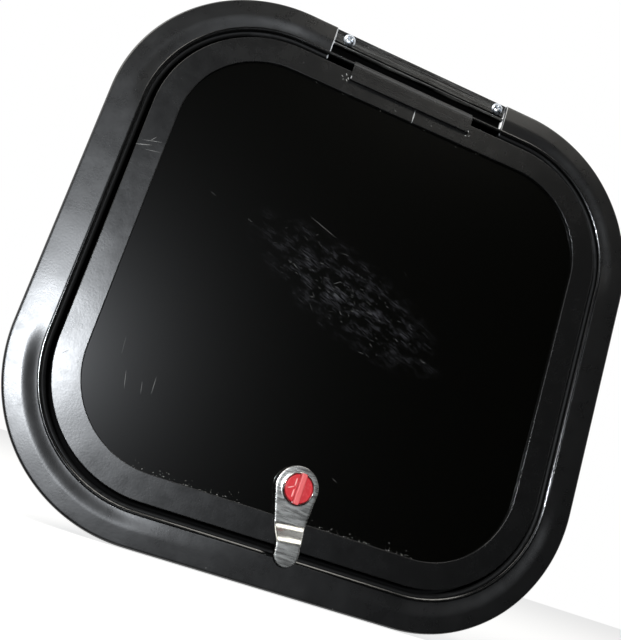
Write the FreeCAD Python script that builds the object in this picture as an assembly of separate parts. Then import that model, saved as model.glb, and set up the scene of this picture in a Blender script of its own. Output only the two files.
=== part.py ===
# Cargo access door for a camper wall: a bent-section frame, a top-hung inset door and a finger-pull cam lock.
# Millimetres, +Z up, the front faces -Y, and the flange's back lies on the wall plane y = 0.
import FreeCAD
import Part
import math
import os

# Frame section, bent to a rounded square. Widths run inwards from the frame's outer edge.
frame_w = 356.0
frame_h = 342.0
corner_r = 97.0
edge_h = 3.6
edge_round = 1.2
flange_h = 5.4
flange_bulge = 0.3
shoulder_w = 1.3
shoulder_drop = 1.0
foot_w = 3.0
heel_w = 2.0
heel_h = 3.0
frame_t = 1.0
groove = 0.2
bead_r = 1.1
bead_in = 19.2
bead_y = -4.2
neck_depth = 15.8
ledge_w = 14.2

# Seals
lip_seal_w = 3.0
lip_seal_l = 4.6
lip_seal_y = -2.8
lip_seal_brow = 1.2
stop_seal_w = 5.0
stop_seal_in = 8.0
stop_seal_base = 0.8
stop_seal_clear = 0.4

# Door: a channel section bent round a sandwich panel
door_gap = 5.7
door_proud = 6.0
door_depth = 15.0
ring_flange = 15.9
ring_back = 10.5
ring_t = 1.6
ring_edge_r = 0.5
skin_t = 2.0
back_skin_t = 1.5
panel_clear = 0.3
butt_gap = 0.4
butt_x = 1.4

# Hinge: the flange is notched at the top, so that the door's hooked leaf can turn on the neck's bead
notch_left = -63.0
notch_right = 62.0
strip_clear = 0.3
strip_w = 8.4
strip_t = 3.0
rib_pitch = 0.9
rib_depth = 0.3
rib_count = 4
slot_w = 1.4
slot_floor = 1.2
ridge_w = 1.8
ridge_h = 4.2
trough_t = 0.6
hook_clear = 0.08
hook_t = 0.7
hook_start = -57.0
hook_end = 137.0
brow_end = 95.0
door_leaf_left = -46.0
door_leaf_right = 39.6
door_leaf_lap = 6.8
door_leaf_t = 2.0
leaf_edge = 0.4
brow_w = 3.6
brow_drop = 0.65
screw_left = -53.5
screw_right = 56.0
screw_in = 4.7
screw_head_r = 4.1
screw_head_h = 2.3
screw_shank_r = 2.0
screw_reach = 9.0
screw_clear = 0.1
screw_rim = 0.6
screw_dome = 0.35
screw_dome_at = 2.5
recess_w = 1.2
recess_l = 4.6
recess_d = 1.3
recess_turn = 25.0

# Splice plate behind the frame's butt joint
splice_l = 60.0
splice_w = 8.5
splice_t = 1.2
rivet_r = 2.4
rivet_top_r = 1.3
rivet_h = 0.9
rivet_step = 18.0

# Lock and finger pull
lock_x = 1.0
lock_up = 17.7
pull_tilt = 6.0
turn_tilt = -1.5
gasket_t = 2.2
gasket_r = 11.6
pull_t = 1.6
pull_head_r = 12.8
pull_waist = 9.2
pull_tip_r = 7.1
pull_tip_at = 36.5
joggle_from = 20.5
joggle_to = 30.5
joggle_h = 6.2
joggle_r = 3.0
collar_r = 9.6
collar_h = 3.8
collar_bevel = 0.9
barrel_r = 8.0
barrel_clear = 0.2
turn_r = 8.15
turn_clear = 0.3
turn_t = 2.6
turn_rise = 0.4
grip_w = 3.6
grip_h = 3.4
grip_l = 18.0
grip_root = 14.0
grip_round = 0.8
shaft_r = 4.5
shaft_lap = 0.5
shaft_clear = 0.06
cam_gap = 2.0
cam_t = 2.5
cam_r = 8.0
cam_tip_r = 5.5
cam_reach = 26.0
cam_square = 6.4
square_clear = 0.05
washer_r = 11.5
washer_t = 0.8
nut_flats = 22.0
nut_t = 4.0
cam_screw_flats = 8.0
cam_screw_h = 3.4

# Places that follow from the sizes above
half_x = frame_w / 2
half_z = frame_h / 2
lift = half_z - foot_w / 2
neck_out = bead_in - frame_t / 2
neck_in = bead_in + frame_t / 2
ledge_y = neck_depth - frame_t
ring_in = neck_in + door_gap
ring_inner = ring_in + ring_flange
door_face = -door_proud
door_back = door_face + door_depth
panel_face = door_face + ring_t
panel_back = door_back - ring_t
panel_in = ring_in + ring_t + panel_clear
bead_z = half_z - bead_in
hook_in_r = bead_r + hook_clear
hook_out_r = hook_in_r + hook_t
lock_z = -half_z + ring_inner + lock_up
pull_back = panel_face - gasket_t
pull_face = pull_back - pull_t
collar_face = pull_face - collar_h
cam_face = neck_depth + cam_gap
cam_back = cam_face + cam_t
axis_x = FreeCAD.Vector(1, 0, 0)
axis_y = FreeCAD.Vector(0, 1, 0)
axis_z = FreeCAD.Vector(0, 0, 1)
centre = FreeCAD.Vector(0, 0, 0)


def face_of(place, start, steps):
    """A flat face from a start point and steps: a point ends a line, a pair (through, end) ends an arc."""
    edges = []
    here = start
    for step in steps:
        if isinstance(step[0], tuple):
            through, end = step
            edges.append(Part.Arc(place(*here), place(*through), place(*end)).toShape())
        else:
            end = step
            edges.append(Part.LineSegment(place(*here), place(*end)).toShape())
        here = end
    if here != start:
        edges.append(Part.LineSegment(place(*here), place(*start)).toShape())
    return Part.Face(Part.Wire(edges))


def round_the_frame(start, steps):
    """A section (inwards, y) carried round the rounded rectangle: four straight runs and four corners."""
    run_x = half_x - corner_r
    run_z = half_z - corner_r
    turn = FreeCAD.Vector(run_x, 0, -run_z)
    section = face_of(lambda u, y: FreeCAD.Vector(run_x, y, u - half_z), start, steps)
    bottom = section.extrude(FreeCAD.Vector(-2 * run_x, 0, 0))
    corner = section.revolve(turn, -axis_y, 90)
    side = section.rotated(turn, -axis_y, 90).extrude(FreeCAD.Vector(0, 0, 2 * run_z))
    lower = [bottom, corner, corner.mirror(centre, axis_x)]
    upper = [piece.mirror(centre, axis_z) for piece in lower]
    return lower[0].multiFuse(lower[1:] + upper + [side, side.mirror(centre, axis_x)]).removeSplitter()


def rounded_plate(inwards, y_front, y_back):
    """A flat sheet whose edge lies a given distance inside the frame's outer edge."""
    low = FreeCAD.Vector(inwards - half_x, y_front, inwards - half_z)
    sheet = Part.makeBox(frame_w - 2 * inwards, y_back - y_front, frame_h - 2 * inwards, low)
    corners = [edge for edge in sheet.Edges if abs(edge.tangentAt(edge.FirstParameter).y) > 0.9]
    return sheet.makeFillet(corner_r - inwards, corners)


def disc(x, z, radius, y_front, y_back):
    return Part.makeCylinder(radius, y_back - y_front, FreeCAD.Vector(x, y_front, z), axis_y)


def block(x_low, x_high, y_low, y_high, z_low, z_high):
    low = FreeCAD.Vector(x_low, y_low, z_low)
    return Part.makeBox(x_high - x_low, y_high - y_low, z_high - z_low, low)


def hexagon(x, z, flats, y_front, y_back):
    radius = flats / 2 / math.cos(math.pi / 6)
    points = []
    for i in range(7):
        angle = math.radians(60 * i)
        points.append(FreeCAD.Vector(x + radius * math.cos(angle), y_front, z + radius * math.sin(angle)))
    return Part.Face(Part.makePolygon(points)).extrude(axis_y * (y_back - y_front))


def tilted(shape, angle):
    """The pull and the turn each stand a few degrees off plumb about the lock's axis."""
    return shape.rotated(FreeCAD.Vector(lock_x, 0, lock_z), -axis_y, angle)


def top_run(start, steps, x_low, x_high):
    """A section (z, y) drawn out along the top run."""
    section = face_of(lambda z, y: FreeCAD.Vector(x_low, y, z), start, steps)
    return section.extrude(axis_x * (x_high - x_low))


def frame_flange():
    """The wide, nearly flat flange: a hollow section on two feet, stopping short at the hinge's notch."""
    ease = 1 - math.sqrt(0.5)
    end = bead_in - bead_r - groove
    shoulder = end - shoulder_w
    middle = ((edge_round + shoulder) / 2, -(edge_h + flange_h) / 2 - flange_bulge)
    brow = (end - ease * shoulder_w, ease * shoulder_drop - flange_h)
    steps = [
        (0, edge_round - edge_h),
        ((ease * edge_round, ease * edge_round - edge_h), (edge_round, -edge_h)),
        (middle, (shoulder, -flange_h)),
        (brow, (end, shoulder_drop - flange_h)),
        (end, -heel_h),
        (neck_out, -heel_h),
        (neck_out, 0),
        (neck_out - heel_w, 0),
        (neck_out - heel_w, -heel_h),
        (shoulder - frame_t, frame_t - flange_h),
        (foot_w, frame_t - edge_h),
        (foot_w, 0),
    ]
    flange = round_the_frame((0, 0), steps)
    notch = block(notch_left, notch_right, -flange_h - 1, 1, bead_z - 1, half_z + 1)
    return flange.cut(notch)


def frame_neck():
    """The neck through the wall, with a bead along its front edge and a ledge behind the door."""
    shoulder = bead_y + math.sqrt(bead_r ** 2 - (frame_t / 2) ** 2)
    steps = [
        ((bead_in, bead_y - bead_r), (neck_in, shoulder)),
        (neck_in, ledge_y),
        (neck_in + ledge_w, ledge_y),
        (neck_in + ledge_w, neck_depth),
        (neck_out, neck_depth),
    ]
    neck = round_the_frame((neck_out, shoulder), steps)
    seam = block(-butt_gap / 2, butt_gap / 2, bead_y - bead_r - 1, neck_depth + 1, 0, half_z)
    return neck.cut(seam)


def lip_seal():
    """A rubber lip on the neck's inner face, leaning towards the door, left out behind the hinge."""
    lip = neck_in + lip_seal_w
    tail = lip_seal_y + lip_seal_l
    steps = [
        ((neck_in + lip_seal_w / 2, lip_seal_y), (lip, lip_seal_y + lip_seal_brow)),
        (neck_in + lip_seal_w / 2, tail),
        (neck_in, tail),
    ]
    seal = round_the_frame((neck_in, lip_seal_y + lip_seal_brow / 4), steps)
    gap = block(notch_left, notch_right, lip_seal_y - 1, neck_depth, 0, half_z)
    return seal.cut(gap)


def stop_seal():
    """A bulb on a flat base that covers the ledge."""
    low = neck_in + stop_seal_in
    crest = door_back + stop_seal_clear
    base = ledge_y - stop_seal_base
    shoulder = (crest + ledge_y) / 2
    steps = [
        (neck_in, base),
        (low, base),
        (low, shoulder),
        ((low + stop_seal_w / 2, crest), (low + stop_seal_w, shoulder)),
        (low + stop_seal_w, ledge_y),
    ]
    return round_the_frame((neck_in, ledge_y), steps)


def frame_splice():
    neck_top = half_z - neck_out
    y_mid = neck_depth / 2
    y_low = y_mid - splice_w / 2
    plate = block(-splice_l / 2, splice_l / 2, y_low, y_low + splice_w, neck_top, neck_top + splice_t)
    for step in (-1.5, -0.5, 0.5, 1.5):
        seat = FreeCAD.Vector(step * rivet_step, y_mid, neck_top + splice_t)
        dome = Part.makeCone(rivet_r, rivet_top_r, rivet_h, seat, axis_z)
        plate = plate.fuse(dome)
    return plate


def notch_strip():
    """A strip that closes the notch on the wall: fine ribs, a slot, a ridge and a thin floor under the hook."""
    low_z = half_z - strip_w
    slot_z = low_z - slot_w
    ridge_z = slot_z - ridge_w
    neck_z = half_z - neck_out
    root = rib_depth - strip_t
    steps = [(half_z, root)]
    for i in range(rib_count):
        rib_z = half_z - (i + 0.3) * rib_pitch
        steps.append((rib_z, -strip_t))
        steps.append((rib_z - 0.4 * rib_pitch, -strip_t))
        steps.append((rib_z - 0.5 * rib_pitch, root))
        steps.append((rib_z - 0.9 * rib_pitch, root))
    steps += [
        (half_z - (rib_count + 0.3) * rib_pitch, -strip_t),
        (low_z, -strip_t),
        (low_z, -slot_floor),
        (slot_z, -slot_floor),
        (slot_z, -ridge_h + ridge_w / 2),
        ((slot_z - ridge_w / 2, -ridge_h), (ridge_z, -ridge_h + ridge_w / 2)),
        (ridge_z, -trough_t),
        (neck_z, -trough_t),
        (neck_z, 0),
    ]
    strip = top_run((half_z, 0), steps, notch_left + strip_clear, notch_right - strip_clear)
    for x in (screw_left, screw_right):
        hole = disc(x, half_z - screw_in, screw_shank_r + screw_clear, -strip_t - 1, 1)
        strip = strip.cut(hole)
    return strip


def hinge_screw(x):
    """Pan head with a cross recess, seated on the ribs, and a plain shank."""
    z = half_z - screw_in
    seat = -strip_t
    crown = seat - screw_head_h
    profile = face_of(
        lambda r, y: FreeCAD.Vector(x + r, y, z),
        (0, crown),
        [
            ((screw_dome_at, crown + screw_dome), (screw_head_r, seat - screw_rim)),
            (screw_head_r, seat),
            (screw_shank_r, seat),
            (screw_shank_r, screw_reach - screw_shank_r),
            (0, screw_reach),
        ],
    )
    screw = profile.revolve(FreeCAD.Vector(x, 0, z), axis_y, 360)
    floor = crown + recess_d
    arm = block(x - recess_l / 2, x + recess_l / 2, crown - 1, floor, z - recess_w / 2, z + recess_w / 2)
    cross = arm.fuse(arm.rotated(FreeCAD.Vector(x, 0, z), axis_y, 90))
    return screw.cut(cross.rotated(FreeCAD.Vector(x, 0, z), axis_y, recess_turn))


def door_ring():
    corner = ring_edge_r * (1 - math.sqrt(0.5))
    wall_in = ring_in + ring_t
    steps = [
        (ring_in, door_face + ring_edge_r),
        ((ring_in + corner, door_face + corner), (ring_in + ring_edge_r, door_face)),
        (ring_inner - ring_edge_r, door_face),
        ((ring_inner - corner, door_face + corner), (ring_inner, door_face + ring_edge_r)),
        (ring_inner, panel_face),
        (wall_in, panel_face),
        (wall_in, panel_back),
        (ring_in + ring_back, panel_back),
        (ring_in + ring_back, door_back),
    ]
    ring = round_the_frame((ring_in, door_back), steps)
    seam = block(butt_x - butt_gap / 2, butt_x + butt_gap / 2, door_face - 1, door_back + 1, 0, half_z)
    return ring.cut(seam)


def sandwich():
    """The front skin, the core and the back skin, all bored for the lock's barrel."""
    core_front = panel_face + skin_t
    core_back = panel_back - back_skin_t
    bore = disc(lock_x, lock_z, barrel_r + barrel_clear, panel_face - 1, panel_back + 1)
    layers = {
        "front_panel": (panel_face, core_front),
        "door_core": (core_front, core_back),
        "back_panel": (core_back, panel_back),
    }
    return {name: rounded_plate(panel_in, y0, y1).cut(bore) for name, (y0, y1) in layers.items()}


def hinge_door_leaf():
    """A thick leaf on the ring's face, rounded over at the top and ending in a hook that turns on the bead."""
    leaf_low = half_z - ring_in - door_leaf_lap
    leaf_front = door_face - door_leaf_t
    corner = leaf_edge * (1 - math.sqrt(0.5))
    foot = math.degrees(math.asin((bead_y - door_face) / hook_out_r))

    def on_hook(radius, angle):
        turn = math.radians(angle)
        return (bead_z - radius * math.cos(turn), bead_y - radius * math.sin(turn))

    return top_run(
        (leaf_low, door_face),
        [
            (leaf_low, leaf_front + leaf_edge),
            ((leaf_low + corner, leaf_front + corner), (leaf_low + leaf_edge, leaf_front)),
            (bead_z - brow_w, leaf_front),
            ((bead_z - brow_w / 2, leaf_front + brow_drop), on_hook(hook_out_r, brow_end)),
            (on_hook(hook_out_r, (brow_end + hook_end) / 2), on_hook(hook_out_r, hook_end)),
            on_hook(hook_in_r, hook_end),
            (on_hook(hook_in_r, (hook_start + hook_end) / 2), on_hook(hook_in_r, hook_start)),
            on_hook(hook_out_r, hook_start),
            (on_hook(hook_out_r, (hook_start + foot) / 2), on_hook(hook_out_r, foot)),
        ],
        door_leaf_left,
        door_leaf_right,
    )


def pull_gasket():
    washer = disc(lock_x, lock_z, gasket_r, pull_back, panel_face)
    return washer.cut(disc(lock_x, lock_z, barrel_r + barrel_clear, pull_back - 1, panel_face + 1))


def finger_pull():
    """A teardrop plate under the lock's collar, joggled outwards to a tongue for the fingers."""
    top = pull_head_r + 1
    tip = pull_tip_at + pull_tip_r + 1
    side = face_of(
        lambda down, y: FreeCAD.Vector(lock_x - top, y, lock_z - down),
        (-top, pull_back),
        [
            (-top, pull_face),
            (joggle_from, pull_face),
            (joggle_to, pull_face - joggle_h),
            (tip, pull_face - joggle_h),
            (tip, pull_back - joggle_h),
            (joggle_to, pull_back - joggle_h),
            (joggle_from, pull_back),
        ],
    )
    strip = side.extrude(axis_x * (2 * top))
    bends = []
    for edge in strip.Edges:
        down = lock_z - edge.CenterOfMass.z
        along_x = abs(edge.tangentAt(edge.FirstParameter).x) > 0.9
        if along_x and (abs(down - joggle_from) < 0.01 or abs(down - joggle_to) < 0.01):
            bends.append(edge)
    strip = strip.makeFillet(joggle_r, bends)

    # the head's circle tapers to a waist at the joggle, and a narrower tongue goes on to the tip
    lean = math.atan((pull_head_r - pull_waist) / joggle_from)
    head_x = pull_head_r * math.cos(lean)
    head_down = pull_head_r * math.sin(lean)
    tongue = (joggle_from + joggle_to) / 2 + joggle_r
    plan = face_of(
        lambda x, down: FreeCAD.Vector(lock_x + x, pull_face - joggle_h - 1, lock_z - down),
        (-head_x, head_down),
        [
            ((0, -pull_head_r), (head_x, head_down)),
            (pull_waist, joggle_from),
            (pull_tip_r, tongue),
            (pull_tip_r, pull_tip_at),
            ((0, pull_tip_at + pull_tip_r), (-pull_tip_r, pull_tip_at)),
            (-pull_tip_r, tongue),
            (-pull_waist, joggle_from),
        ],
    )
    pull = strip.common(plan.extrude(axis_y * (joggle_h + pull_t + 2)))
    pull = pull.cut(disc(lock_x, lock_z, barrel_r + barrel_clear, pull_face - 1, pull_back + 1))
    return tilted(pull, pull_tilt)


def lock_body():
    """Collar and barrel in one turned piece, with a pocket for the thumb turn and a bore for its shaft."""
    ease = 1 - math.sqrt(0.5)
    pocket = collar_face + turn_t - turn_rise + turn_clear
    end = cam_face - turn_clear
    profile = face_of(
        lambda r, y: FreeCAD.Vector(lock_x + r, y, lock_z),
        (shaft_r + shaft_clear, pocket),
        [
            (turn_r + turn_clear, pocket),
            (turn_r + turn_clear, collar_face + collar_bevel / 3),
            (turn_r + turn_clear + collar_bevel / 3, collar_face),
            ((collar_r - ease * collar_bevel, collar_face + ease * collar_bevel), (collar_r, collar_face + collar_bevel)),
            (collar_r, pull_face),
            (barrel_r, pull_face),
            (barrel_r, end),
            (shaft_r + shaft_clear, end),
        ],
    )
    return profile.revolve(FreeCAD.Vector(lock_x, 0, lock_z), axis_y, 360)


def lock_washer():
    ring = disc(lock_x, lock_z, washer_r, panel_back, panel_back + washer_t)
    return ring.cut(disc(lock_x, lock_z, barrel_r + barrel_clear, panel_back - 1, panel_back + washer_t + 1))


def lock_nut():
    front = panel_back + washer_t
    nut = hexagon(lock_x, lock_z, nut_flats, front, front + nut_t)
    return nut.cut(disc(lock_x, lock_z, barrel_r + barrel_clear, front - 1, front + nut_t + 1))


def thumb_turn():
    """A disc in the collar's pocket with a raised grip, on a shaft that ends in the cam's square."""
    face = collar_face - turn_rise
    knob = disc(lock_x, lock_z, turn_r, face, face + turn_t)
    rim = [edge for edge in knob.Edges if abs(edge.CenterOfMass.y - face) < 0.01]
    knob = knob.makeFillet(turn_rise, rim)
    side = grip_w / 2
    grip = block(lock_x - side, lock_x + side, face - grip_h, face, lock_z - grip_l / 2, lock_z + grip_l / 2)
    upper = [edge for edge in grip.Edges if edge.CenterOfMass.y < face - grip_round]
    grip = grip.makeFillet(grip_round, upper)
    root = block(lock_x - side, lock_x + side, face - 1, face + 1, lock_z - grip_root / 2, lock_z + grip_root / 2)
    shaft = disc(lock_x, lock_z, shaft_r, face + turn_t - shaft_lap, cam_face)
    half = cam_square / 2
    square = block(lock_x - half, lock_x + half, cam_face - shaft_lap, cam_back, lock_z - half, lock_z + half)
    square = square.common(disc(lock_x, lock_z, shaft_r, cam_face - 1, cam_back + 1))
    return tilted(knob.multiFuse([grip, root, shaft, square]).removeSplitter(), turn_tilt)


def cam():
    """A flat bar that lies level when the lock is open and turns down behind the frame's ledge."""
    lean = math.asin((cam_r - cam_tip_r) / cam_reach)
    bar = face_of(
        lambda along, z: FreeCAD.Vector(lock_x + along, cam_face, lock_z + z),
        (cam_r * math.sin(lean), cam_r * math.cos(lean)),
        [
            ((-cam_r, 0), (cam_r * math.sin(lean), -cam_r * math.cos(lean))),
            (cam_reach + cam_tip_r * math.sin(lean), -cam_tip_r * math.cos(lean)),
            ((cam_reach + cam_tip_r, 0), (cam_reach + cam_tip_r * math.sin(lean), cam_tip_r * math.cos(lean))),
        ],
    ).extrude(axis_y * cam_t)
    half = cam_square / 2 + square_clear
    socket = block(lock_x - half, lock_x + half, cam_face - 1, cam_back + 1, lock_z - half, lock_z + half)
    socket = socket.common(disc(lock_x, lock_z, shaft_r + square_clear, cam_face - 2, cam_back + 2))
    return tilted(bar.cut(socket), turn_tilt)


def cam_screw():
    flange = disc(lock_x, lock_z, cam_square, cam_back, cam_back + washer_t)
    head = hexagon(lock_x, lock_z, cam_screw_flats, cam_back + washer_t / 2, cam_back + cam_screw_h)
    return tilted(flange.fuse(head).removeSplitter(), turn_tilt)


pieces = {
    "frame_flange": frame_flange(),
    "frame_neck": frame_neck(),
    "frame_splice": frame_splice(),
    "lip_seal": lip_seal(),
    "stop_seal": stop_seal(),
    "notch_strip": notch_strip(),
    "hinge_screw_left": hinge_screw(screw_left),
    "hinge_screw_right": hinge_screw(screw_right),
    "door_ring": door_ring(),
    "hinge_door_leaf": hinge_door_leaf(),
    "pull_gasket": pull_gasket(),
    "finger_pull": finger_pull(),
    "lock_body": lock_body(),
    "lock_washer": lock_washer(),
    "lock_nut": lock_nut(),
    "thumb_turn": thumb_turn(),
    "cam": cam(),
    "cam_screw": cam_screw(),
}
pieces.update(sandwich())

os.makedirs("parts", exist_ok=True)
for name, shape in pieces.items():
    placed = shape.translated(axis_z * lift)
    placed.exportStep("parts/" + name + ".step")
    print(name, len(placed.Solids), placed.isValid(), round(placed.Volume, 1))
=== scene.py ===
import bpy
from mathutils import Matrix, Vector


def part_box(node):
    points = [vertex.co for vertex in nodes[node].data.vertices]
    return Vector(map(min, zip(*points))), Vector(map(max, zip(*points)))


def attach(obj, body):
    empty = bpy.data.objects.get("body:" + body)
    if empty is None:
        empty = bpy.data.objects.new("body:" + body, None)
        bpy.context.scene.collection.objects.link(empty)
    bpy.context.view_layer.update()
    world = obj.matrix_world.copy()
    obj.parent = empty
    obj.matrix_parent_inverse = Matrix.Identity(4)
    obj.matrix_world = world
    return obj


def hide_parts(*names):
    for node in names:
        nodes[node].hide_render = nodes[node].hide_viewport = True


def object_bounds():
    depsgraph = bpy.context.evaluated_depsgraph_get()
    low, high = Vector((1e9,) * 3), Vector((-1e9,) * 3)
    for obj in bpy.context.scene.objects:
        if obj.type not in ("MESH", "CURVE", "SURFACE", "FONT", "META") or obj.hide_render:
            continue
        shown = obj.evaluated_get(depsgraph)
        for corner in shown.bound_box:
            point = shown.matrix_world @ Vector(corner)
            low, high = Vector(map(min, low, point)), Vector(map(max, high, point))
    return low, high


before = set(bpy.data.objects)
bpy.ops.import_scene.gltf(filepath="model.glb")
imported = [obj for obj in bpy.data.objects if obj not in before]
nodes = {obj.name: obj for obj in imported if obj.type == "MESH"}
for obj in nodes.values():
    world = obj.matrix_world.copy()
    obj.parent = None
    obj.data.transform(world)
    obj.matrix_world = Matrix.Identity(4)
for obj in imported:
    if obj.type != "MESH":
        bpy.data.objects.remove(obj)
cadBox = [list(corner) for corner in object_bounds()]

import math
import bpy
import numpy as np
from mathutils import Matrix, Vector

mm = 0.001
sharpAngle = math.radians(32)
rng = np.random.default_rng(41)
print("frame loaded:", len(nodes), "nodes")

# the door's middle, from the flange's box; the frame's own zero is on the bottom foot
flangeLow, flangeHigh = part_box("frame_flange")
midX = (flangeLow.x + flangeHigh.x) / 2
midZ = (flangeLow.z + flangeHigh.z) / 2


def linear(hexColour):
    # sRGB hex to linear RGBA
    value = np.array([int(hexColour[i:i + 2], 16) for i in (1, 3, 5)]) / 255
    low = value / 12.92
    high = ((value + 0.055) / 1.055) ** 2.4
    return (*np.where(value <= 0.04045, low, high), 1.0)


def addNode(tree, kind, links=None, values=None, **settings):
    # one shader node with its properties, plain input values and the sockets that feed it
    node = tree.nodes.new(kind)
    for name, value in settings.items():
        setattr(node, name, value)
    for key, value in (values or {}).items():
        node.inputs[key].default_value = value
    for key, source in (links or {}).items():
        tree.links.new(source, node.inputs[key])
    return node


def band(edges, ends=(0.0, 1.0)):
    # input values of a Map Range node
    return {"From Min": edges[0], "From Max": edges[1], "To Min": ends[0], "To Max": ends[1]}


def newMaterial(name, **base):
    # a Principled material with its constant values on the shader's own sockets
    material = bpy.data.materials.new(name)
    material.use_nodes = True
    tree = material.node_tree
    shader = tree.nodes["Principled BSDF"]
    for key, value in base.items():
        shader.inputs[key.replace("_", " ")].default_value = value
    place = addNode(tree, "ShaderNodeTexCoord").outputs["Object"]
    return material, tree, shader, place


def grainedMaterial(name, look):
    # one plain colour with a fine bump, from noise or from cells
    material, tree, shader, place = newMaterial(
        name, Base_Color=linear(look["colour"]), Roughness=look["roughness"],
        Metallic=look.get("metallic", 0.0), Specular_IOR_Level=look.get("specular", 0.5))
    grain = addNode(tree, look["pattern"], {"Vector": place},
                    {"Scale": look["scale"], "Detail": look.get("detail", 0)})
    bump = addNode(tree, "ShaderNodeBump", {"Height": grain.outputs[0]}, {"Strength": 1, "Distance": look["depth"]})
    tree.links.new(bump.outputs[0], shader.inputs["Normal"])
    return material


def dress(material, *names):
    for name in names:
        slots = nodes[name].data.materials
        slots.clear()
        slots.append(material)


def smooth(low, high, value):
    # 0 below low, 1 above high, an even S between
    share = np.clip((value - low) / (high - low), 0, 1)
    return share * share * (3 - 2 * share)


def gridQuads(rows, columns, closed):
    # quads between neighbouring rows and columns of a grid of points
    row = np.arange(rows - 1)[:, None]
    column = np.arange(columns if closed else columns - 1)[None, :]
    after = (column + 1) % columns
    first = row * columns
    quads = np.stack([first + column, first + after, first + columns + after, first + columns + column], axis=-1)
    return quads.reshape(-1, 4)


def fromMiddle(points):
    # millimetres from the door's middle to metres in the frame
    return points.reshape(-1, 3) * mm + np.array([midX, 0, midZ])


def newPiece(name, points, faces, material, body):
    mesh = bpy.data.meshes.new(name)
    mesh.from_pydata(fromMiddle(points).tolist(), [], faces)
    mesh.materials.append(material)
    mesh.polygons.foreach_set("use_smooth", np.ones(len(mesh.polygons), dtype=bool))
    mesh.set_sharp_from_angle(angle=sharpAngle)
    piece = bpy.data.objects.new(name, mesh)
    bpy.context.collection.objects.link(piece)
    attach(piece, body)
    return piece


# camera: solved from the outlines of the frame, the door ring and the panel
camera = {
    "placeMm": (-123.34, -468.2, -127.09),   # from the door's middle
    "right": (0.91352, -0.27330, 0.30130),
    "down": (0.34895, 0.14578, -0.92573),
    "forward": (0.20908, 0.95082, 0.22854),
    "focalPx": 815.2,
    "framePx": 640.0,
    "sensorMm": 36.0,
    "clip": (0.01, 50),
}


def placeCamera():
    data = bpy.data.cameras.new("photoCamera")
    data.sensor_width = camera["sensorMm"]
    data.lens = camera["focalPx"] / camera["framePx"] * camera["sensorMm"]
    eye = bpy.data.objects.new("photoCamera", data)
    bpy.context.collection.objects.link(eye)
    place = Vector(camera["placeMm"]) * mm + Vector((midX, 0, midZ))
    axes = (Vector(camera["right"]), -Vector(camera["down"]), -Vector(camera["forward"]))
    eye.matrix_world = Matrix.Translation(place) @ Matrix(axes).transposed().to_4x4()
    data.clip_start, data.clip_end = camera["clip"]
    bpy.context.scene.camera = eye


placeCamera()
print("camera placed")


# stage in metres: a white floor, a dark card behind the camera and a dark flag on the floor, a small window light,
# a soft light up to the left and a ceiling light
stage = {
    "floorColour": "#ffffff",
    "floorGlow": 0.66,
    "floorSize": 9.0,
    "floorGap": 0.0005,
    "paintRoughness": 0.9,
    "cardColour": "#131313",
    "cardAt": -3.2,
    "cardSides": (-3.6, 9.0),
    "cardHeight": 10.0,
    "flagGap": 0.006,
    "flagRise": 0.0002,
    "fill": 0.14,
    "windowTarget": (-0.14, -0.07),      # x, and z from the door's middle
    "windowAim": (-0.12, -0.985, 0.07),
    "windowDistance": 1.9,
    "windowSize": 0.14,
    "windowWatts": 26.0,
    "coolLight": (0.91, 0.95, 1.0),
    "warmLight": (1.0, 0.97, 0.9),
    "softPlace": (-1.3, -0.7, 1.5),
    "softSize": 1.2,
    "softWatts": 12.0,
    "ceilingPlace": (0.55, -1.35, 1.75),
    "ceilingSize": 0.8,
    "ceilingWatts": 5.5,
}


def flatCard(name, corners, **base):
    mesh = bpy.data.meshes.new(name)
    mesh.from_pydata(corners, [], [(0, 1, 2, 3)])
    card = bpy.data.objects.new(name, mesh)
    bpy.context.collection.objects.link(card)
    paint = newMaterial(name + "Paint", Roughness=stage["paintRoughness"], Specular_IOR_Level=0.0, **base)[0]
    mesh.materials.append(paint)
    return card


def softLamp(name, place, target, size, watts, colour):
    lamp = bpy.data.lights.new(name, "AREA")
    lamp.shape = "DISK"
    lamp.size = size
    lamp.energy = watts
    lamp.color = colour
    holder = bpy.data.objects.new(name, lamp)
    bpy.context.collection.objects.link(holder)
    holder.location = place
    holder.rotation_mode = "QUATERNION"
    holder.rotation_quaternion = (place - target).to_track_quat("Z", "Y")


def seenDirectly(tree):
    # 1 for rays from the camera, a reflection or through glass, 0 for rays that light a surface
    rays = addNode(tree, "ShaderNodeLightPath").outputs
    seen = rays["Is Camera Ray"]
    for other in ("Is Glossy Ray", "Is Transmission Ray"):
        seen = addNode(tree, "ShaderNodeMath", {0: seen, 1: rays[other]}, operation="MAXIMUM").outputs[0]
    return seen


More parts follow.
